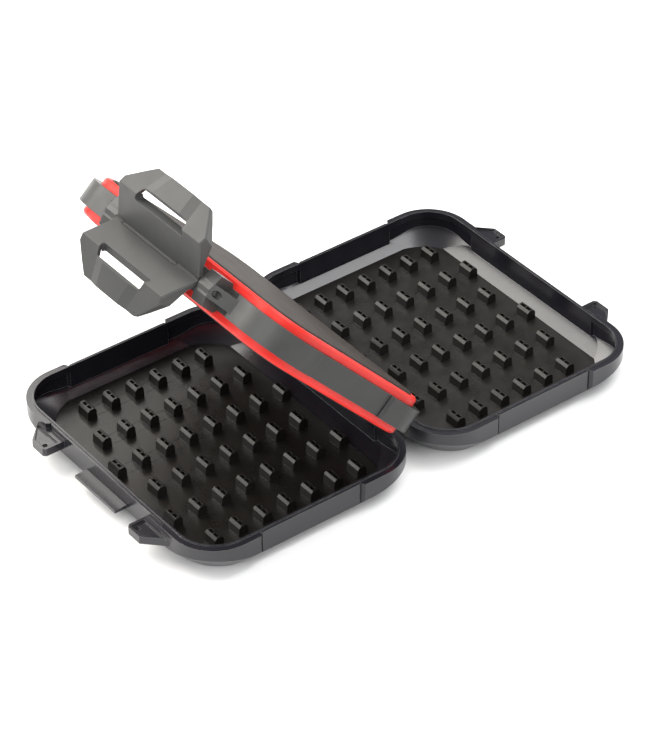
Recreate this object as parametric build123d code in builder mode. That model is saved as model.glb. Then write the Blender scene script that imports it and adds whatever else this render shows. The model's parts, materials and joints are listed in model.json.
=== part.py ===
from build123d import *
import math
import os

# Double-sided jig box, open on a table, in millimetres.
# The hinge line runs along Y over the origin and the table is the plane Z = 0.
# The left tray (-X) and the right tray (+X) are one moulding, turned half a turn about Z.
# The centre leaf stands tilted over the left tray and carries both latches on its free edge.

# Tray outline, between the recessed side walls
tray_width = 132.0
tray_length = 166.4
corner_radius = 22.6
bumper_proud = 1.9
bumper_jog_latch = 32.5
bumper_jog_hinge = 28.7
bumper_jog_side = 48.9
jog_slope = 1.2
seam_width = 1.0
seam_depth = 0.6

# Tray section
tray_height = 19.2
shell_floor = 1.8
lip_height = 0.7
lip_width = 0.9
rim_width = 2.2
bevel_inset_x = 10.0
bevel_inset_y = 7.0
bevel_height = 6.1
bevel_corner_radius = 25.0
bevel_corner_lean = 41.0
cavity_bevel_inset_x = 11.9
cavity_bevel_inset_y = 8.0
cavity_bevel_height = 4.7
cavity_corner_radius = 27.0
cavity_corner_lean = 62.0
corner_pocket_depth = 1.5
corner_pocket_drop = 3.0

# Peg mat
mat_thickness = 1.1
mat_clearance = 0.15
strip_depth = 0.6
strip_width = 6.9
strip_end = 1.0
strip_clearance = 0.05
peg_pitch_x = 14.6
peg_pitch_y = 24.0
peg_rows = (6, 7, 8, 7, 8, 7)
peg_length = 8.9
peg_base_width = 5.8
peg_shoulder_width = 5.1
peg_shoulder_height = 4.7
peg_roof_rise = 1.3
peg_ridge_width = 2.5
peg_pocket_width = 1.7
peg_pocket_length = 2.9
peg_pocket_depth = 1.6
peg_pocket_count = 2
tooth_thickness = 0.9

# Centre leaf
leaf_tilt = 47.1
leaf_half_thickness = 6.3
plateau_height = 5.0
gasket_inset = 2.8
gasket_width = 3.5
gasket_height = 4.3
gasket_groove = 1.0
gasket_clearance = 0.1
plate_inset = 6.5
plate_skin = 2.0
plate_wall = 2.5
frame_wall = 9.0
spigot_depth = 2.0
spigot_clearance = 0.15
leaf_rib = 2.0

# Hinge
hinge_gap = 6.2
hinge_above_rim = 8.8
hinge_barrel_radius = 3.5
hinge_pin_radius = 1.25
running_clearance = 0.05
press_clearance = 0.02
station_y = 34.0
knuckle_length = 7.6
knuckle_gap = 0.4
arm_reach = 4.9
arm_drop = 7.0

# Ears beside the latches
ear_reach = 12.3
ear_gap = 2.8
ear_flat = 10.6
ear_spread = 23.0
ear_drop = 3.8
ear_thickness = 4.5
ear_rim = 1.3
ear_pocket = 1.2
ear_dimple_radius = 1.3
ear_dimple_depth = 1.0
leaf_ear_half_height = 8.4
leaf_ear_gap = 0.7
leaf_ear_block = 8.5
leaf_ear_spread = 18.6
leaf_ear_rib = 3.6
pin_recess_radius = 1.9
pin_recess_depth = 0.6

# Latches
pivot_reach = 8.8
latch_half_length = 33.2
latch_thickness = 2.8
latch_bend = (16.9, 15.1)
latch_tip = (12.2, 31.1)
latch_seam = 3.4
seam_step = 0.9
seam_gap = 0.15
latch_barrel_radius = 2.9
latch_bore_radius = 1.3
latch_pin_radius = 1.25
middle_barrel_front = 16.0
middle_barrel_back = 27.0
barrel_gap = 0.4
barrel_relief = 3.3
slot_half_length = 20.0
slot_end_slope = 2.5
slot_width = 5.8
slot_before_bend = 3.6
slot_corner_radius = 1.2
slot_rib_width = 1.6
slot_rib_depth = 2.0
latch_corner_start = 4.0
latch_corner_along = 7.5
latch_tip_corner = 4.5
latch_edge_bevel = 0.7
cheek_thickness = 2.2
cheek_depth = 7.0
cheek_start = 0.3
pull_bar_start = 4.9
pull_bar_half = 17.0
pull_bar_taper = 2.5
pull_bar_ramp = 6.0
pull_bar_height = 1.2

# Catch flange on each tray
flange_clearance = 0.1
flange_reach = 6.7
flange_drop = 9.4
flange_thickness = 1.6
flange_droop = 0.9

# Positions that follow from the driving dimensions
half_width = tray_width / 2
half_length = tray_length / 2
tray_centre = hinge_gap + half_width
latch_wall = hinge_gap + tray_width
rim_flat = tray_height - lip_height
hinge_height = tray_height + hinge_above_rim
pivot_distance = latch_wall + pivot_reach
ear_edge = latch_wall + ear_reach
ear_inner_y = latch_half_length + ear_gap
ear_flat_y = ear_inner_y + ear_flat
ear_outer_y = ear_inner_y + ear_spread
leaf_ear_inner_y = latch_half_length + leaf_ear_gap
leaf_ear_outer_y = leaf_ear_inner_y + leaf_ear_spread
latch_pin_half = leaf_ear_inner_y + leaf_ear_block + 1
flange_half_length = slot_half_length - slot_end_slope - flange_clearance

tilt = math.radians(leaf_tilt)
leaf_out = (-math.cos(tilt), 0, math.sin(tilt))
leaf_normal = (math.sin(tilt), 0, math.cos(tilt))
leaf_plane = Plane(
    origin=(0, 0, hinge_height),
    x_dir=(math.cos(tilt), 0, -math.sin(tilt)),
    z_dir=leaf_normal,
)


def leaf_section(y):
    """Plane across the leaf: local X runs from the hinge to the latches, local Y is the leaf's normal."""
    return Plane(origin=(0, y, hinge_height), x_dir=leaf_out, z_dir=(0, 1, 0))


def rounded_outline(inset, radius=None):
    """Rounded rectangle that lies inset from the recessed walls."""
    corner = corner_radius - inset if radius is None else radius
    return RectangleRounded(tray_width - 2 * inset, tray_length - 2 * inset, corner)


def recess_cut(start, end, depth):
    """Trapezoid from a recessed wall (local Y = 0) outwards, with sloped ends, cut from the open sketch."""
    Polygon(
        (start, 0),
        (end, 0),
        (end + jog_slope, depth),
        (end + jog_slope, depth + 5),
        (start - jog_slope, depth + 5),
        (start - jog_slope, depth),
        align=None,
        mode=Mode.SUBTRACT,
    )


def bumper_outline(centre_x, inset, proud, seams):
    """Outline with corners that stand proud of the recessed side walls, drawn in the open sketch."""
    with Locations((centre_x, 0)):
        RectangleRounded(
            2 * (half_width - inset + proud),
            2 * (half_length - inset + proud),
            corner_radius - inset + proud,
        )
    side = half_length - inset
    with Locations(Location((centre_x, side, 0))):
        recess_cut(-bumper_jog_latch, bumper_jog_hinge, proud)
    with Locations(Location((centre_x, -side, 0), (0, 0, 180))):
        recess_cut(-bumper_jog_hinge, bumper_jog_latch, proud)
    with Locations(Location((centre_x - half_width + inset, 0, 0), (0, 0, 90))):
        recess_cut(-bumper_jog_side, bumper_jog_side, proud)
    with Locations(Location((centre_x + half_width - inset, 0, 0), (0, 0, -90))):
        recess_cut(-bumper_jog_side, bumper_jog_side, proud)
    if seams:
        seam_x = (-bumper_jog_latch + seam_width / 2, bumper_jog_hinge - seam_width / 2)
        with Locations(*[(centre_x + x, s * side) for x in seam_x for s in (-1, 1)]):
            Rectangle(seam_width, 2 * seam_depth, mode=Mode.SUBTRACT)
        seam_y = bumper_jog_side - seam_width / 2
        with Locations((centre_x - half_width, seam_y), (centre_x - half_width, -seam_y)):
            Rectangle(2 * seam_depth, seam_width, mode=Mode.SUBTRACT)


def flare(low, inset_x, inset_y, rise, radius, corner_lean):
    """Trims the open part to walls that lean out as they climb, with conical corners that open out too."""
    climb = tray_height + 2 - low
    walls = ((Plane.XZ, -tray_centre, half_width, inset_x), (Plane.YZ, 0, half_length, inset_y))
    for section, centre, half, inset in walls:
        foot = half - inset
        crown = foot + inset * climb / rise
        with BuildSketch(section) as outline:
            Polygon(
                (centre - foot, low),
                (centre + foot, low),
                (centre + crown, low + climb),
                (centre - crown, low + climb),
                align=None,
            )
        extrude(outline.sketch, amount=3 * tray_centre, both=True, mode=Mode.INTERSECT)
    lean = rise * math.tan(math.radians(corner_lean))
    with BuildSketch(Plane.XY.offset(low)) as outline:
        with Locations((-tray_centre, 0)):
            RectangleRounded(2 * (half_width - lean), 2 * (half_length - lean), radius)
    extrude(outline.sketch, amount=climb, taper=-corner_lean, mode=Mode.INTERSECT)


# Space inside a tray: upright walls over a bevelled floor, with the corners pocketed below the lip
with BuildPart() as tray_cavity:
    with BuildSketch(Plane.XY.offset(shell_floor)):
        bumper_outline(-tray_centre, rim_width, corner_pocket_depth, False)
    extrude(amount=rim_flat - corner_pocket_drop - shell_floor)
    with BuildSketch(Plane.XY.offset(shell_floor)):
        with Locations((-tray_centre, 0)):
            rounded_outline(rim_width)
    extrude(amount=tray_height + 1 - shell_floor)
    flare(
        shell_floor,
        cavity_bevel_inset_x + rim_width,
        cavity_bevel_inset_y + rim_width,
        cavity_bevel_height,
        cavity_corner_radius,
        cavity_corner_lean,
    )


def tray_ear(side):
    """Guard ear beside the latch: a shelf with a rimmed pocket and a small eye."""
    top = tray_height - ear_drop
    wall = -latch_wall
    with BuildSketch(Plane.XY.offset(top)) as shelf:
        with BuildLine():
            Polyline(
                (wall + 1, side * ear_inner_y),
                (-ear_edge + 1.5, side * ear_inner_y),
                (-ear_edge, side * (ear_inner_y + 1.5)),
                (-ear_edge, side * ear_flat_y),
                (wall, side * ear_outer_y),
                (wall + 1, side * ear_outer_y),
                close=True,
            )
        make_face()
    extrude(shelf.sketch, amount=-ear_thickness)
    with BuildSketch(Plane.XY.offset(top)) as outline:
        with BuildLine():
            Polyline(
                (wall - bumper_proud - ear_rim, side * (ear_inner_y + ear_rim)),
                (-ear_edge + ear_rim, side * (ear_inner_y + 1.2 * ear_rim)),
                (-ear_edge + ear_rim, side * (ear_flat_y - 0.5 * ear_rim)),
                (wall - bumper_proud - ear_rim, side * (ear_outer_y - 2.5 * ear_rim)),
                close=True,
            )
        make_face()
    extrude(outline.sketch, amount=-ear_pocket, mode=Mode.SUBTRACT)
    with BuildSketch(Plane.XY.offset(top - ear_pocket)) as outline:
        with Locations((-ear_edge + 2.6 * ear_rim, side * (ear_inner_y + 3.2 * ear_rim))):
            Circle(ear_dimple_radius)
    extrude(outline.sketch, amount=-ear_dimple_depth, mode=Mode.SUBTRACT)


def tray_knuckle(y):
    """Hinge barrel on an arm that climbs from the tray's hinge wall."""
    side_plane = Plane(origin=(0, y - knuckle_length / 2, hinge_height), x_dir=(-1, 0, 0), z_dir=(0, 1, 0))
    with BuildSketch(side_plane) as outline:
        with BuildLine():
            Polyline(
                (hinge_gap + 1, -hinge_above_rim - arm_drop),
                (hinge_gap, -hinge_above_rim - arm_drop),
                (hinge_gap - arm_reach, -hinge_above_rim - arm_drop + arm_reach),
                (hinge_gap - arm_reach, -1),
                (hinge_barrel_radius - 0.6, -1),
                (hinge_gap - 0.5, -hinge_barrel_radius - 0.6),
                (hinge_gap - 0.5, -hinge_above_rim + lip_height),
                (hinge_gap + 1, -hinge_above_rim - lip_height),
                close=True,
            )
        make_face()
        Circle(hinge_barrel_radius)
        Circle(hinge_pin_radius + running_clearance, mode=Mode.SUBTRACT)
    extrude(outline.sketch, amount=knuckle_length)


knuckle_step = knuckle_length + knuckle_gap

# Left tray shell
with BuildPart() as left_tray_shell:
    with BuildSketch():
        bumper_outline(-tray_centre, 0, bumper_proud, True)
    extrude(amount=rim_flat)
    flare(0, bevel_inset_x, bevel_inset_y, bevel_height, bevel_corner_radius, bevel_corner_lean)
    with BuildSketch(Plane.XY.offset(rim_flat)):
        with Locations((-tray_centre, 0)):
            rounded_outline(rim_width - lip_width)
    extrude(amount=lip_height)
    for ear_side in (-1, 1):
        tray_ear(ear_side)
    flange_plane = Plane(origin=(0, -flange_half_length, tray_height), x_dir=(-1, 0, 0), z_dir=(0, 1, 0))
    with BuildSketch(flange_plane):
        with BuildLine():
            flange_top = ThreePointArc(
                (latch_wall - 1, -flange_drop),
                (latch_wall + flange_reach / 2, -flange_drop - flange_droop),
                (latch_wall + flange_reach, -flange_drop - flange_droop),
            )
            Polyline(
                flange_top @ 1,
                (latch_wall + flange_reach, -flange_drop - flange_thickness - flange_droop),
                (latch_wall - 1, -flange_drop - flange_thickness - flange_droop),
                flange_top @ 0,
            )
        make_face()
    extrude(amount=2 * flange_half_length)
    tray_knuckle(station_y + knuckle_step)
    tray_knuckle(-station_y + knuckle_step)
    add(tray_cavity.part, mode=Mode.SUBTRACT)

# One peg: a house-shaped post with a row of pockets along its ridge, parted by teeth
with BuildPart() as peg:
    with BuildSketch(Plane.XZ):
        Polygon(
            (-peg_base_width / 2, 0),
            (peg_base_width / 2, 0),
            (peg_shoulder_width / 2, peg_shoulder_height),
            (peg_ridge_width / 2, peg_shoulder_height + peg_roof_rise),
            (-peg_ridge_width / 2, peg_shoulder_height + peg_roof_rise),
            (-peg_shoulder_width / 2, peg_shoulder_height),
            align=None,
        )
    extrude(amount=peg_length / 2, both=True)
    with BuildSketch(Plane.XY.offset(peg_shoulder_height + peg_roof_rise)):
        with GridLocations(1, peg_pocket_length + tooth_thickness, 1, peg_pocket_count):
            Rectangle(peg_pocket_width, peg_pocket_length)
    extrude(amount=-peg_pocket_depth, mode=Mode.SUBTRACT)

# Staggered rows of pegs, counted from the back of the left tray, with as many pegs as the mat's top holds
mat_top = shell_floor + mat_thickness
mat_edge_x = rim_width + mat_clearance + cavity_bevel_inset_x * (1 - mat_thickness / cavity_bevel_height)
peg_reach = half_width - mat_edge_x - peg_base_width / 2
peg_rows_on_mat = []
for row, count in enumerate(peg_rows):
    row_y = ((len(peg_rows) - 1) / 2 - row) * peg_pitch_y
    row_x = [(k - (count - 1) / 2) * peg_pitch_x for k in range(count)]
    peg_rows_on_mat.append((row_y, [x for x in row_x if abs(x) < peg_reach]))


def strip_outline(row_y, row_x, clearance):
    """Plan of the strip under one row of pegs, in the open sketch."""
    with Locations((-tray_centre, row_y)):
        Rectangle(row_x[-1] - row_x[0] + 2 * (strip_end + clearance), strip_width + 2 * clearance)


# Mat with a shallow seat for every strip of pegs
with BuildPart() as left_peg_mat:
    with BuildSketch(Plane.XY.offset(shell_floor)):
        with Locations((-tray_centre, 0)):
            Rectangle(tray_width, tray_length)
    extrude(amount=mat_thickness)
    flare(
        shell_floor,
        cavity_bevel_inset_x + rim_width + mat_clearance,
        cavity_bevel_inset_y + rim_width + mat_clearance,
        cavity_bevel_height,
        cavity_corner_radius,
        cavity_corner_lean,
    )
    with BuildSketch(Plane.XY.offset(mat_top)):
        for row_y, row_x in peg_rows_on_mat:
            strip_outline(row_y, row_x, strip_clearance)
    extrude(amount=-strip_depth, mode=Mode.SUBTRACT)

# Peg strips: a bar set flush in the mat, with one row of pegs
left_peg_strips = []
for row_y, row_x in peg_rows_on_mat:
    with BuildPart() as peg_strip:
        with BuildSketch(Plane.XY.offset(mat_top)):
            strip_outline(row_y, row_x, 0)
        extrude(amount=-strip_depth)
        with Locations(*[(-tray_centre + x, row_y, mat_top) for x in row_x]):
            add(peg.part)
    left_peg_strips.append(peg_strip)

# The right tray is the same set of mouldings, turned half a turn
with BuildPart() as right_tray_shell:
    add(left_tray_shell.part, rotation=(0, 0, 180))

with BuildPart() as right_peg_mat:
    add(left_peg_mat.part, rotation=(0, 0, 180))

right_peg_strips = []
for left_strip in left_peg_strips:
    with BuildPart() as peg_strip:
        add(left_strip.part, rotation=(0, 0, 180))
    right_peg_strips.append(peg_strip)


def leaf_ear(side):
    """Block that carries the latch pin, with a rib that runs down to the corner bumper."""
    with BuildSketch(leaf_section(side * (leaf_ear_inner_y + leaf_ear_block / 2))) as outline:
        with BuildLine():
            Polyline(
                (latch_wall - 1, leaf_half_thickness),
                (latch_wall + 1, leaf_ear_half_height),
                (ear_edge - 2.2, leaf_ear_half_height),
                (ear_edge, 0),
                (ear_edge - 2.2, -leaf_ear_half_height),
                (latch_wall + 1, -leaf_ear_half_height),
                (latch_wall - 1, -leaf_half_thickness),
                close=True,
            )
        make_face()
    extrude(outline.sketch, amount=leaf_ear_block / 2, both=True)
    with BuildSketch(leaf_plane) as outline:
        with BuildLine():
            Polyline(
                (-latch_wall + 1, side * (leaf_ear_inner_y + 1)),
                (-ear_edge + 0.6, side * (leaf_ear_inner_y + 1)),
                (-ear_edge + 0.6, side * (leaf_ear_inner_y + leaf_ear_block)),
                (-latch_wall - bumper_proud, side * leaf_ear_outer_y),
                (-latch_wall + 1, side * leaf_ear_outer_y),
                close=True,
            )
        make_face()
    extrude(outline.sketch, amount=leaf_ear_rib, both=True)


def leaf_knuckle(y):
    """Hinge barrel on a short tongue from the leaf's hinge edge."""
    with BuildSketch(leaf_section(y - knuckle_length / 2)) as outline:
        with Locations((hinge_gap / 2 + 0.5, 0)):
            Rectangle(hinge_gap + 1, 1.7 * hinge_barrel_radius)
        Circle(hinge_barrel_radius)
        Circle(hinge_pin_radius + press_clearance, mode=Mode.SUBTRACT)
    extrude(outline.sketch, amount=knuckle_length)


# Leaf frame: the outer band with its bumpers, ears, hinge barrels and inner ribs
with BuildPart() as leaf_frame:
    with BuildSketch(leaf_plane.offset(-leaf_half_thickness)):
        bumper_outline(-tray_centre, 0, bumper_proud, True)
        with Locations((-tray_centre, 0)):
            RectangleRounded(
                tray_width - 2 * frame_wall,
                tray_length - 2 * frame_wall,
                corner_radius - frame_wall,
                mode=Mode.SUBTRACT,
            )
            rib_depth = 2 * (leaf_half_thickness - spigot_depth)
    extrude(amount=2 * leaf_half_thickness)
    with BuildSketch(leaf_plane.offset(-rib_depth / 2)):
        with Locations((-tray_centre, 0)):
            Rectangle(tray_width - 2 * frame_wall + 1, leaf_rib)
            with GridLocations(tray_width / 3, 1, 2, 1):
                Rectangle(leaf_rib, tray_length - 2 * frame_wall + 1)
    extrude(amount=rib_depth)
    for ear_side in (-1, 1):
        leaf_ear(ear_side)
    for knuckle_y in (-station_y, station_y):
        leaf_knuckle(knuckle_y)
    groove_outer = gasket_inset - gasket_clearance
    groove_inner = gasket_inset + gasket_width + gasket_clearance
    for face_side in (-1, 1):
        with BuildSketch(leaf_plane.offset(face_side * (leaf_half_thickness - gasket_groove))):
            with Locations((-tray_centre, 0)):
                rounded_outline(groove_outer)
                RectangleRounded(
                    tray_width - 2 * groove_inner,
                    tray_length - 2 * groove_inner,
                    corner_radius - groove_inner,
                    mode=Mode.SUBTRACT,
                )
        extrude(amount=face_side * 2 * gasket_groove, mode=Mode.SUBTRACT)
    with BuildSketch(leaf_section(0)):
        with Locations((pivot_distance, 0)):
            Circle(latch_pin_radius + press_clearance)
    extrude(amount=leaf_ear_outer_y, both=True, mode=Mode.SUBTRACT)
    for ear_side in (-1, 1):
        with BuildSketch(leaf_section(ear_side * (latch_pin_half - pin_recess_depth))):
            with Locations((pivot_distance, 0)):
                Circle(pin_recess_radius)
        extrude(amount=ear_side * leaf_ear_block, mode=Mode.SUBTRACT)


def face_plate(face_side):
    """Shallow pan that closes one face of the frame and stands up inside the gasket."""
    foot = face_side * leaf_half_thickness
    with BuildSketch(leaf_plane.offset(foot)) as outline:
        with Locations((-tray_centre, 0)):
            rounded_outline(plate_inset)
    extrude(outline.sketch, amount=face_side * plateau_height)
    outer_face = faces().sort_by(Axis(origin=leaf_plane.origin, direction=leaf_normal))
    crown = outer_face[-1] if face_side > 0 else outer_face[0]
    chamfer(crown.edges(), 0.8)
    spigot = frame_wall + spigot_clearance
    with BuildSketch(leaf_plane.offset(foot)) as outline:
        with Locations((-tray_centre, 0)):
            rounded_outline(spigot)
    extrude(outline.sketch, amount=-face_side * spigot_depth)
    with BuildSketch(leaf_plane.offset(foot - face_side * spigot_depth)) as outline:
        with Locations((-tray_centre, 0)):
            rounded_outline(spigot + plate_wall)
    extrude(outline.sketch, amount=face_side * (plateau_height + spigot_depth - plate_skin), mode=Mode.SUBTRACT)


with BuildPart() as upper_face_plate:
    face_plate(1)

with BuildPart() as lower_face_plate:
    face_plate(-1)


def gasket_ring(face_side):
    """Seal strip seated in the frame's groove, with a rounded crest."""
    root = face_side * (leaf_half_thickness - gasket_groove)
    with BuildSketch(leaf_plane.offset(root)) as outline:
        with Locations((-tray_centre, 0)):
            rounded_outline(gasket_inset)
            RectangleRounded(
                tray_width - 2 * (gasket_inset + gasket_width),
                tray_length - 2 * (gasket_inset + gasket_width),
                corner_radius - gasket_inset - gasket_width,
                mode=Mode.SUBTRACT,
            )
    extrude(outline.sketch, amount=face_side * (gasket_height + gasket_groove))
    outer_face = faces().sort_by(Axis(origin=leaf_plane.origin, direction=leaf_normal))
    crest = outer_face[-1] if face_side > 0 else outer_face[0]
    chamfer(crest.edges(), 1.1)


with BuildPart() as upper_gasket:
    gasket_ring(1)

with BuildPart() as lower_gasket:
    gasket_ring(-1)


def mitre(corner, before, after, depth):
    """Inner corner of a bent plate, depth in from the outer corner between two directions."""
    turn = (after - before) / 2
    middle = before + turn
    reach = depth / math.cos(turn)
    return (corner[0] - reach * math.sin(middle), corner[1] + reach * math.cos(middle))


plate_angle = math.atan2(latch_bend[1], latch_bend[0] - latch_seam)
plate_length = math.hypot(latch_bend[0] - latch_seam, latch_bend[1])
hook_angle = math.atan2(latch_tip[1] - latch_bend[1], latch_tip[0] - latch_bend[0])
hook_length = math.hypot(latch_tip[0] - latch_bend[0], latch_tip[1] - latch_bend[1])
inner_bend = mitre(latch_bend, plate_angle, hook_angle, latch_thickness)
inner_tip = mitre(latch_tip, hook_angle, hook_angle, latch_thickness)


def plate_point(along, depth):
    """Section point of the root plate, counted from the pin: along from the seam, depth in from outside."""
    return (
        latch_seam + along * math.cos(plate_angle) - depth * math.sin(plate_angle),
        along * math.sin(plate_angle) + depth * math.cos(plate_angle),
    )


def latch_polygon(flip, points):
    """Polygon through section points counted from the pin, mirrored for the lower latch, in the open sketch."""
    Polygon(*[(pivot_distance + s, flip * w) for s, w in points], align=None)


def latch_face(flip, start, end, along):
    """Plane on an outer face of a latch: local X along the hinge, local Y from start towards end."""
    foot, head = (
        leaf_section(0).from_local_coords(Vector(pivot_distance + s, flip * w, 0)) for s, w in (start, end)
    )
    run = (head - foot).normalized()
    across = Vector(0, -flip, 0)
    return Plane(origin=foot + run * along, x_dir=across, z_dir=across.cross(run))


def flap_outline(inset, extra):
    """Flap seen square to its hook, with the corners of its tip cut back twice, in the open sketch."""
    side = latch_half_length - inset
    shoulder = side - latch_corner_along
    Polygon(
        (-side, -3 * hook_length),
        (side, -3 * hook_length),
        (side, latch_corner_start),
        (shoulder, hook_length - latch_tip_corner),
        (shoulder - latch_tip_corner - extra, hook_length + extra),
        (-shoulder + latch_tip_corner + extra, hook_length + extra),
        (-shoulder, hook_length - latch_tip_corner),
        (-side, latch_corner_start),
        align=None,
    )


def trim_to_outline(flip, inset, extra):
    """Cuts the open part to the flap's outline, square to its hook."""
    with BuildSketch(latch_face(flip, latch_bend, latch_tip, 0)) as outline:
        flap_outline(inset, extra)
    extrude(outline.sketch, amount=2 * plate_length, both=True, mode=Mode.INTERSECT)


def latch_hollow(flip):
    """Room behind a latch's plate, inside the cheeks that follow its outline."""
    cheek_inner = plate_point(cheek_start * plate_length, latch_thickness)
    behind = mitre(latch_bend, plate_angle, hook_angle, 2 * cheek_depth)
    with BuildSketch(leaf_section(0)) as outline:
        latch_polygon(flip, (cheek_inner, inner_bend, inner_tip, behind))
    extrude(outline.sketch, amount=latch_half_length, both=True)
    trim_to_outline(flip, cheek_thickness, cheek_thickness)


def latch(flip, hollow, barrels, reliefs):
    """One latch flap: bent plate with cheeks, barrels and tabs on the pin, catch slot and raised pull bar."""
    root = (seam_step + seam_gap) / math.sin(plate_angle)
    gusset = mitre(latch_bend, plate_angle, hook_angle, cheek_depth)
    cheek_outer = plate_point(cheek_start * plate_length, 0)
    cheek_inner = plate_point(cheek_start * plate_length, latch_thickness)
    with BuildSketch(leaf_section(0)) as outline:
        plate_start = plate_point(root, 0)
        plate_back = plate_point(root, latch_thickness)
        latch_polygon(flip, (plate_start, latch_bend, latch_tip, inner_tip, inner_bend, plate_back))
        latch_polygon(flip, (cheek_outer, latch_bend, latch_tip, inner_tip, gusset, cheek_inner))
    extrude(outline.sketch, amount=latch_half_length, both=True)
    add(hollow.part, mode=Mode.SUBTRACT)
    trim_to_outline(flip, 0, 0)
    outer_edges = []
    for start, end in (((latch_seam, 0), latch_bend), (latch_bend, latch_tip)):
        face_plane = latch_face(flip, start, end, 0)
        for edge in edges():
            place = face_plane.to_local_coords(edge.center())
            if abs(place.Z) < 0.01 and place.Y > 1 and abs(edge.tangent_at(0.5).Y) < 0.999:
                outer_edges.append(edge)
    chamfer(outer_edges, latch_edge_bevel)
    for low, high in reliefs:
        with BuildSketch(leaf_section(low)) as outline:
            with Locations((pivot_distance, 0)):
                Circle(barrel_relief)
        extrude(outline.sketch, amount=high - low, mode=Mode.SUBTRACT)
    tab_reach = seam_step / math.tan(plate_angle)
    for low, high in barrels:
        with BuildSketch(leaf_section(low)) as outline:
            with Locations((pivot_distance, 0)):
                Circle(latch_barrel_radius)
            latch_polygon(
                flip,
                (
                    (latch_seam + tab_reach, -seam_step),
                    (latch_seam, 0),
                    plate_point(2 * root, 0),
                    plate_point(2 * root, latch_thickness),
                    plate_point(0, latch_thickness),
                    (0, -seam_step),
                ),
            )
        extrude(outline.sketch, amount=high - low)
    with BuildSketch(leaf_section(0)) as outline:
        with Locations((pivot_distance, 0)):
            Circle(latch_bore_radius)
    extrude(outline.sketch, amount=latch_half_length + 1, both=True, mode=Mode.SUBTRACT)
    slot_start = plate_length - slot_before_bend
    with BuildSketch(leaf_section(0)) as outline:
        latch_polygon(
            flip,
            (
                plate_point(slot_start - slot_rib_width, latch_thickness / 2),
                plate_point(slot_start + slot_rib_width, latch_thickness / 2),
                plate_point(slot_start + slot_rib_width, latch_thickness + slot_rib_depth),
                plate_point(slot_start - slot_rib_width, latch_thickness + slot_rib_depth),
            ),
        )
    extrude(outline.sketch, amount=slot_half_length, both=True)
    slot_tip_half = slot_half_length - slot_end_slope
    with BuildSketch(latch_face(flip, (latch_seam, 0), latch_bend, slot_start)) as outline:
        Polygon(
            (-slot_half_length, 0),
            (slot_half_length, 0),
            (slot_tip_half, slot_width),
            (-slot_tip_half, slot_width),
            align=None,
        )
        fillet(outline.vertices(), slot_corner_radius)
    extrude(outline.sketch, amount=plate_length, both=True, mode=Mode.SUBTRACT)
    bar_face = latch_face(flip, latch_bend, latch_tip, 0)
    bar_sections = []
    for height, ramp in ((0, 0), (pull_bar_height, pull_bar_ramp)):
        half = pull_bar_half - ramp
        with BuildSketch(bar_face.offset(height)) as outline:
            Polygon(
                (-half, pull_bar_start),
                (half, pull_bar_start),
                (half - pull_bar_taper, hook_length),
                (pull_bar_taper - half, hook_length),
                align=None,
            )
        bar_sections.append(outline.sketch)
    loft(bar_sections, ruled=True)


middle_span = [(-middle_barrel_front, middle_barrel_back)]
end_spans = [
    (-latch_half_length, -middle_barrel_front - barrel_gap),
    (middle_barrel_back + barrel_gap, latch_half_length),
]
middle_relief = [(-middle_barrel_front - barrel_gap, middle_barrel_back + barrel_gap)]
end_relief = [
    (-latch_half_length - 1, -middle_barrel_front),
    (middle_barrel_back, latch_half_length + 1),
]

with BuildPart() as upper_hollow:
    latch_hollow(1)

with BuildPart() as lower_hollow:
    latch_hollow(-1)

with BuildPart() as upper_latch:
    latch(1, upper_hollow, middle_span, end_relief)

with BuildPart() as lower_latch:
    latch(-1, lower_hollow, end_spans, middle_relief)

# Pins
with BuildPart() as latch_pin:
    with BuildSketch(leaf_section(0)):
        with Locations((pivot_distance, 0)):
            Circle(latch_pin_radius)
    extrude(amount=latch_pin_half, both=True)


def hinge_pin(y):
    """Steel pin through the three barrels of one hinge station."""
    reach = 1.5 * knuckle_length + knuckle_gap
    with BuildSketch(leaf_section(y - reach)) as outline:
        Circle(hinge_pin_radius)
    extrude(outline.sketch, amount=2 * reach)


with BuildPart() as rear_hinge_pin:
    hinge_pin(station_y)

with BuildPart() as front_hinge_pin:
    hinge_pin(-station_y)

pieces = {
    "left_tray_shell": left_tray_shell,
    "left_peg_mat": left_peg_mat,
    "right_tray_shell": right_tray_shell,
    "right_peg_mat": right_peg_mat,
    "leaf_frame": leaf_frame,
    "upper_face_plate": upper_face_plate,
    "lower_face_plate": lower_face_plate,
    "upper_gasket": upper_gasket,
    "lower_gasket": lower_gasket,
    "upper_latch": upper_latch,
    "lower_latch": lower_latch,
    "latch_pin": latch_pin,
    "rear_hinge_pin": rear_hinge_pin,
    "front_hinge_pin": front_hinge_pin,
}

for side, strips in (("left", left_peg_strips), ("right", right_peg_strips)):
    for number, peg_strip in enumerate(strips, 1):
        pieces[f"{side}_peg_strip_{number}"] = peg_strip

os.makedirs("parts", exist_ok=True)
for name, piece in pieces.items():
    piece.part.label = name
    export_step(piece.part, f"parts/{name}.step")
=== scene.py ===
"""Looks of a double-sided tackle box that lies open on a table: finishes, floor, lights and camera."""

import math

import bpy
import bmesh
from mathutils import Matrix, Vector
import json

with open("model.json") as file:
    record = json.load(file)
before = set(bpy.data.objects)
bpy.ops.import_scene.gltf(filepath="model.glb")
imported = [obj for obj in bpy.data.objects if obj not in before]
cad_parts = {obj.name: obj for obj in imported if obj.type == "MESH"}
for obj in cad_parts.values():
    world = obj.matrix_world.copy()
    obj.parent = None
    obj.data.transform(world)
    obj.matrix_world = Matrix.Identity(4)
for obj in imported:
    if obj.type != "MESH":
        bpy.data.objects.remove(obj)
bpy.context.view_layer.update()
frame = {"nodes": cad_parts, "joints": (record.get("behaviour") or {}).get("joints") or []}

MM = 0.001

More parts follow.
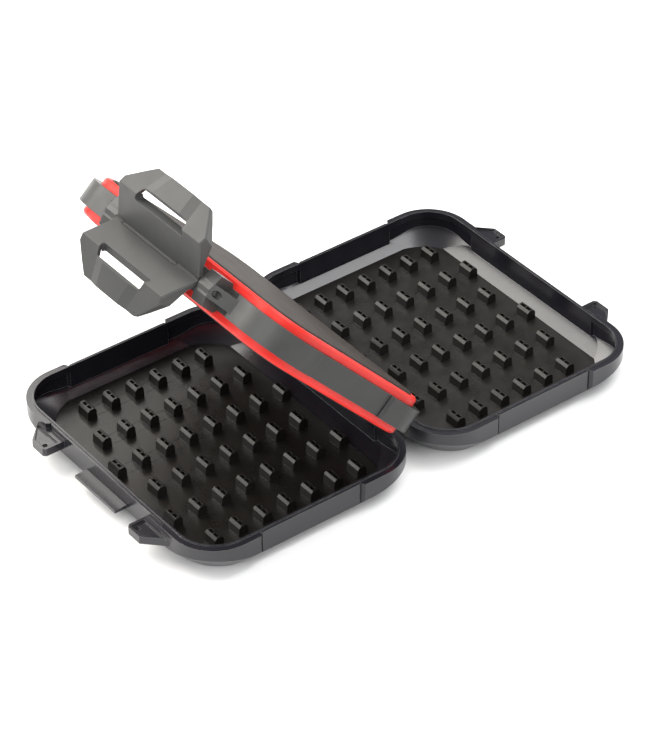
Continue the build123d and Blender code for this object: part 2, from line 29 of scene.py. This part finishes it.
# Camera, solved from the pegs of both trays, with its bearing from +X and its rise in degrees
CAMERA_AIM = Vector((3.21, 6.89, 8.16)) * MM
CAMERA_DISTANCE = 1605.8 * MM
CAMERA_BEARING = -127.533
CAMERA_RISE = 37.766

# Lens, with its focal length in pixels of the photograph
FOCAL_PIXELS = 3110.92
PHOTO_WIDTH = 650
SENSOR_WIDTH = 36.0
CLIP_NEAR = 50 * MM
CLIP_FAR = 20000 * MM

# Leaf, whose ears carry painted light, made this many times as bright as its band, with a fade at these
# distances from the hinge
leaf_hinge = next(joint for joint in frame["joints"] if joint["name"] == "leaf_hinge")
HINGE = Vector(leaf_hinge["pos_m"])
LEAF_TILT = math.radians(-leaf_hinge["range_deg"][0])
LEAF_OUT = Vector((-math.cos(LEAF_TILT), 0, math.sin(LEAF_TILT)))
EAR_FADE_START = 108 * MM
EAR_FADE_END = 134 * MM
EAR_PAINTED_LIGHT = 3.2

# Noise patterns, each as its cells in a metre and its levels of detail
CLOUDS = (38.0, 5.0)
GLOSS_PATCHES = (110.0, 3.0)
RUBBING_AND_HIGHLIGHT_PATCHES = (150.0, 3.0)
GRAIN = (2600.0, 2.0)
FIBRES = (60.0, 4.0)
TURNED_LINES = (300.0, 2.0)
NOISE_ROUGHNESS = 0.55
LINE_ROUGHNESS = 0.5

# Stretches in which nearly all values of a noise lie
NOISE_SPAN = (0.3, 0.7)
CLOUD_SPAN = (0.3, 0.72)

# Grain and edges of moulded pieces
GRAIN_DEPTH = 0.02 * MM
GRAIN_STRENGTH = 0.35
EDGE_RADIUS = 0.35 * MM
EDGE_SAMPLES = 4

# Edge wear and painted edge highlights show where the softened normal leaves the face's own, as a cosine,
# and their share varies
WEAR_AND_HIGHLIGHT_START = 0.985
WEAR_AND_HIGHLIGHT_FULL = 0.86
WEAR_AND_HIGHLIGHT_SHARE = (0.4, 1.0)

# Turned steel, with its lines close together along the pins, which lie along Y
STEEL_DARK = (0.36, 0.36, 0.37)
STEEL_LIGHT = (0.6, 0.6, 0.61)
STEEL_ROUGH = (0.22, 0.4)
LINE_SQUEEZE = (1, 40, 1)

# Floor, which glows faintly far from the box, where the lights don't reach
FLOOR_HALF = 3000 * MM
FLOOR_DARK = (0.79, 0.79, 0.79)
FLOOR_LIGHT = (0.81, 0.81, 0.81)
FLOOR_ROUGH = 0.6
GLOW_START = 750 * MM
GLOW_FULL = 1500 * MM
GLOW_STRENGTH = 0.9

# Lights, with bearings from +X and heights in degrees, sizes in metres and power in watts
LIGHT_AIM = Vector((0, 0, 30)) * MM
LIGHT_DISTANCE = 1700 * MM
WHITE = (1.0, 1.0, 1.0)
WARM = (1.0, 0.965, 0.91)
SURROUNDINGS_COLOUR = (0.96, 0.98, 1.0)
SURROUNDINGS_STRENGTH = 0.22


class Finish:
    """A material with its node tree, and short ways to add what the finishes share."""

    def __init__(self, name):
        self.material = bpy.data.materials.new(name)
        self.material.use_nodes = True
        self.tree = self.material.node_tree
        self.shader = self.tree.nodes["Principled BSDF"]
        self.place = self.add("ShaderNodeTexCoord").outputs["Object"]

    def add(self, kind, inputs=None, **settings):
        """Adds a node with its inputs and settings."""
        node = self.tree.nodes.new(kind)
        for setting, value in settings.items():
            setattr(node, setting, value)
        for key, value in (inputs or {}).items():
            self.feed(node, key, value)
        return node

    def feed(self, node, key, value):
        """Links an input to a socket, or sets it to a plain value."""
        if isinstance(value, bpy.types.NodeSocket):
            self.tree.links.new(value, node.inputs[key])
        else:
            node.inputs[key].default_value = value

    def noise(self, scale, detail, roughness=NOISE_ROUGHNESS, place=None):
        """Noise in object space, or in the space of another place."""
        vector = self.place if place is None else place
        inputs = {"Vector": vector, "Scale": scale, "Detail": detail, "Roughness": roughness}
        return self.add("ShaderNodeTexNoise", inputs).outputs["Fac"]

    def ramp(self, factor, span, dark, light):
        """Goes from a dark colour to a light one while a factor crosses a span."""
        mixer = self.add("ShaderNodeValToRGB", {"Fac": factor})
        for stop, position, colour in zip(mixer.color_ramp.elements, span, (dark, light)):
            stop.position = position
            stop.color = (*colour, 1)
        return mixer.outputs["Color"]

    def spread(self, value, span, result, interpolation="LINEAR"):
        """Maps a span of values on to another, whose ends may be sockets."""
        inputs = {
            "Value": value,
            "From Min": span[0],
            "From Max": span[1],
            "To Min": result[0],
            "To Max": result[1],
        }
        return self.add("ShaderNodeMapRange", inputs, interpolation_type=interpolation).outputs["Result"]

    def vector(self, operation, inputs):
        """A node of vector mathematics, whose inputs are numbered or named."""
        return self.add("ShaderNodeVectorMath", inputs, operation=operation)

    def paint_light_outwards(self, colour):
        """Paints light on the leaf: makes a colour paler from its band to its ears, standing in for the
        light that the ears catch.
        """
        out = self.vector("DOT_PRODUCT", {0: self.place, 1: LEAF_OUT}).outputs["Value"]
        base = HINGE.dot(LEAF_OUT)
        fade = (base + EAR_FADE_START, base + EAR_FADE_END)
        tone = self.spread(out, fade, (1.0, EAR_PAINTED_LIGHT), "SMOOTHSTEP")
        return self.vector("SCALE", {0: colour, "Scale": tone}).outputs["Vector"]

    def paint_edge_wear_and_highlights(self, soft_normal, colour, edge_wear_and_highlight):
        """Pales a colour along edges, as wear and as painted highlights, more in some places than in
        others.
        """
        face_normal = self.add("ShaderNodeNewGeometry").outputs["Normal"]
        likeness = self.vector("DOT_PRODUCT", {0: soft_normal, 1: face_normal}).outputs["Value"]
        most = self.spread(self.noise(*RUBBING_AND_HIGHLIGHT_PATCHES), NOISE_SPAN, WEAR_AND_HIGHLIGHT_SHARE)
        share = self.spread(likeness, (WEAR_AND_HIGHLIGHT_START, WEAR_AND_HIGHLIGHT_FULL), (0.0, most))
        inputs = {"Fac": share, "Color1": colour, "Color2": (*edge_wear_and_highlight, 1)}
        return self.add("ShaderNodeMixRGB", inputs).outputs["Color"]


def moulded(
    name,
    dark,
    light,
    rough,
    specular,
    grain_depth=GRAIN_DEPTH,
    edge=EDGE_RADIUS,
    painted_ear_light=False,
    edge_wear_and_highlight=None,
):
    """Moulded plastic or rubber: cloudy colour, uneven gloss, fine grain and soft edges; where given,
    painted light on the ears and edges paled by wear and painted highlights.
    """
    finish = Finish(name)
    colour = finish.ramp(finish.noise(*CLOUDS), CLOUD_SPAN, dark, light)
    # Painted light: the leaf's ears are made paler, standing in for the light they catch.
    if painted_ear_light:
        colour = finish.paint_light_outwards(colour)
    gloss = finish.spread(finish.noise(*GLOSS_PATCHES), NOISE_SPAN, rough)
    soft_edge = finish.add("ShaderNodeBevel", {"Radius": edge}, samples=EDGE_SAMPLES)
    soft_normal = soft_edge.outputs["Normal"]
    # Edges paled by wear and by painted highlights.
    if edge_wear_and_highlight:
        colour = finish.paint_edge_wear_and_highlights(soft_normal, colour, edge_wear_and_highlight)
    grained = {
        "Strength": GRAIN_STRENGTH,
        "Distance": grain_depth,
        "Height": finish.noise(*GRAIN),
        "Normal": soft_normal,
    }
    normal = finish.add("ShaderNodeBump", grained).outputs["Normal"]
    finish.feed(finish.shader, "Base Color", colour)
    finish.feed(finish.shader, "Roughness", gloss)
    finish.feed(finish.shader, "Specular IOR Level", specular)
    finish.feed(finish.shader, "Normal", normal)
    return finish.material


def turned_steel(name):
    """Bright turned steel with fine lines round the pin."""
    finish = Finish(name)
    squeezed = finish.add("ShaderNodeMapping", {"Vector": finish.place, "Scale": LINE_SQUEEZE})
    lines = finish.noise(*TURNED_LINES, LINE_ROUGHNESS, squeezed.outputs["Vector"])
    colour = finish.ramp(lines, NOISE_SPAN, STEEL_DARK, STEEL_LIGHT)
    finish.feed(finish.shader, "Base Color", colour)
    finish.feed(finish.shader, "Roughness", finish.spread(lines, NOISE_SPAN, STEEL_ROUGH))
    finish.feed(finish.shader, "Metallic", 1.0)
    return finish.material


TRAY = moulded(
    "tray_plastic",
    dark=(0.0100, 0.0098, 0.0134),
    light=(0.0118, 0.0115, 0.0156),
    rough=(0.20, 0.25),
    specular=0.56,
    edge=0.3 * MM,
    # Pale edges here are painted highlights, thin bright lines along the rim's lip.
    edge_wear_and_highlight=(0.13, 0.13, 0.13),
)
MAT = moulded(
    "peg_mat",
    dark=(0.0063, 0.0054, 0.0047),
    light=(0.0092, 0.0080, 0.0071),
    rough=(0.26, 0.36),
    specular=0.33,
)
LEAF = moulded(
    "leaf_plastic",
    dark=(0.0115, 0.0115, 0.0115),
    light=(0.0155, 0.0155, 0.015),
    rough=(0.32, 0.44),
    specular=0.33,
    # Painted light on the ears, and edges paled by wear and by painted highlights
    painted_ear_light=True,
    edge_wear_and_highlight=(0.075, 0.075, 0.073),
)
PLATE = moulded(
    "plate_plastic",
    dark=(0.034, 0.0275, 0.0245),
    light=(0.038, 0.031, 0.0275),
    rough=(0.58, 0.66),
    specular=0.10,
)
SEAL = moulded(
    "seal_rubber",
    dark=(0.60, 0.021, 0.016),
    light=(0.69, 0.030, 0.022),
    rough=(0.34, 0.44),
    specular=0.22,
    grain_depth=0.01 * MM,
)
LATCH = moulded(
    "latch_plastic",
    dark=(0.044, 0.0446, 0.0437),
    light=(0.0525, 0.0532, 0.052),
    rough=(0.38, 0.50),
    specular=0.24,
    edge=0.6 * MM,
    # Edges paled by wear and by painted highlights.
    edge_wear_and_highlight=(0.09, 0.09, 0.088),
)
STEEL = turned_steel("pin_steel")

NODE_MATERIALS = {
    "left_tray_shell": TRAY,
    "right_tray_shell": TRAY,
    "left_peg_mat": MAT,
    "right_peg_mat": MAT,
    "leaf_frame": LEAF,
    "upper_face_plate": PLATE,
    "lower_face_plate": PLATE,
    "upper_gasket": SEAL,
    "lower_gasket": SEAL,
    "upper_latch": LATCH,
    "lower_latch": LATCH,
    "latch_pin": STEEL,
    "rear_hinge_pin": STEEL,
    "front_hinge_pin": STEEL,
}


def dress_nodes():
    """Gives each CAD node its material. The peg strips share the one of their mat."""
    for name, node in frame["nodes"].items():
        material = MAT if "peg_strip" in name else NODE_MATERIALS[name]
        node.data.materials.clear()
        node.data.materials.append(material)


def paper_floor():
    """Flat white paper that the box stands on."""
    mesh = bpy.data.meshes.new("floor")
    form = bmesh.new()
    for x, y in ((-1, -1), (1, -1), (1, 1), (-1, 1)):
        form.verts.new((x * FLOOR_HALF, y * FLOOR_HALF, 0))
    form.faces.new(form.verts)
    form.to_mesh(mesh)
    form.free()
    floor = bpy.data.objects.new("floor", mesh)
    bpy.context.collection.objects.link(floor)

    finish = Finish("floor_paper")
    colour = finish.ramp(finish.noise(*FIBRES), NOISE_SPAN, FLOOR_DARK, FLOOR_LIGHT)
    reach = finish.vector("LENGTH", {0: finish.place}).outputs["Value"]
    glow = finish.spread(reach, (GLOW_START, GLOW_FULL), (0.0, GLOW_STRENGTH), "SMOOTHSTEP")
    finish.feed(finish.shader, "Base Color", colour)
    finish.feed(finish.shader, "Roughness", FLOOR_ROUGH)
    finish.feed(finish.shader, "Emission Strength", glow)
    mesh.materials.append(finish.material)


def aimed(name, data, aim, distance, bearing, rise):
    """Adds a lamp or a camera that looks at a point, from a bearing and a height in degrees."""
    level = math.cos(math.radians(rise))
    away = Vector(
        (
            math.cos(math.radians(bearing)) * level,
            math.sin(math.radians(bearing)) * level,
            math.sin(math.radians(rise)),
        )
    )
    holder = bpy.data.objects.new(name, data)
    holder.location = aim + distance * away
    holder.rotation_euler = away.to_track_quat("Z", "Y").to_euler()
    bpy.context.collection.objects.link(holder)
    return holder


def soft_light(name, bearing, rise, width, height, power, tint=WHITE):
    """Soft box turned to the box on the table."""
    light = bpy.data.lights.new(name, "AREA")
    light.shape = "RECTANGLE"
    light.size = width
    light.size_y = height
    light.energy = power
    light.color = tint
    aimed(name, light, LIGHT_AIM, LIGHT_DISTANCE, bearing, rise)


def studio():
    """Dim surroundings, a wide bright soft box behind, and weaker ones on the other sides and above."""
    world = bpy.data.worlds.new("studio")
    world.use_nodes = True
    background = world.node_tree.nodes["Background"]
    background.inputs["Color"].default_value = (*SURROUNDINGS_COLOUR, 1)
    background.inputs["Strength"].default_value = SURROUNDINGS_STRENGTH
    bpy.context.scene.world = world
    bpy.context.scene.view_settings.view_transform = "Standard"
    soft_light("back_box", bearing=106, rise=43, width=2.12, height=1.55, power=70, tint=WARM)
    soft_light("right_box", bearing=-7, rise=60, width=1.1, height=1.1, power=22)
    soft_light("left_box", bearing=-160, rise=30, width=1.3, height=1.1, power=17)
    soft_light("front_box", bearing=-75, rise=25, width=1.6, height=1.0, power=8)
    soft_light("top_box", bearing=-100, rise=62, width=1.5, height=1.5, power=16)


def camera():
    """Camera at the photograph's place, aimed at the middle of the open box."""
    lens = bpy.data.cameras.new("camera")
    lens.sensor_fit = "HORIZONTAL"
    lens.sensor_width = SENSOR_WIDTH
    lens.lens = FOCAL_PIXELS / PHOTO_WIDTH * SENSOR_WIDTH
    lens.clip_start = CLIP_NEAR
    lens.clip_end = CLIP_FAR
    holder = aimed("camera", lens, CAMERA_AIM, CAMERA_DISTANCE, CAMERA_BEARING, CAMERA_RISE)
    bpy.context.scene.camera = holder


dress_nodes()
paper_floor()
studio()
camera()
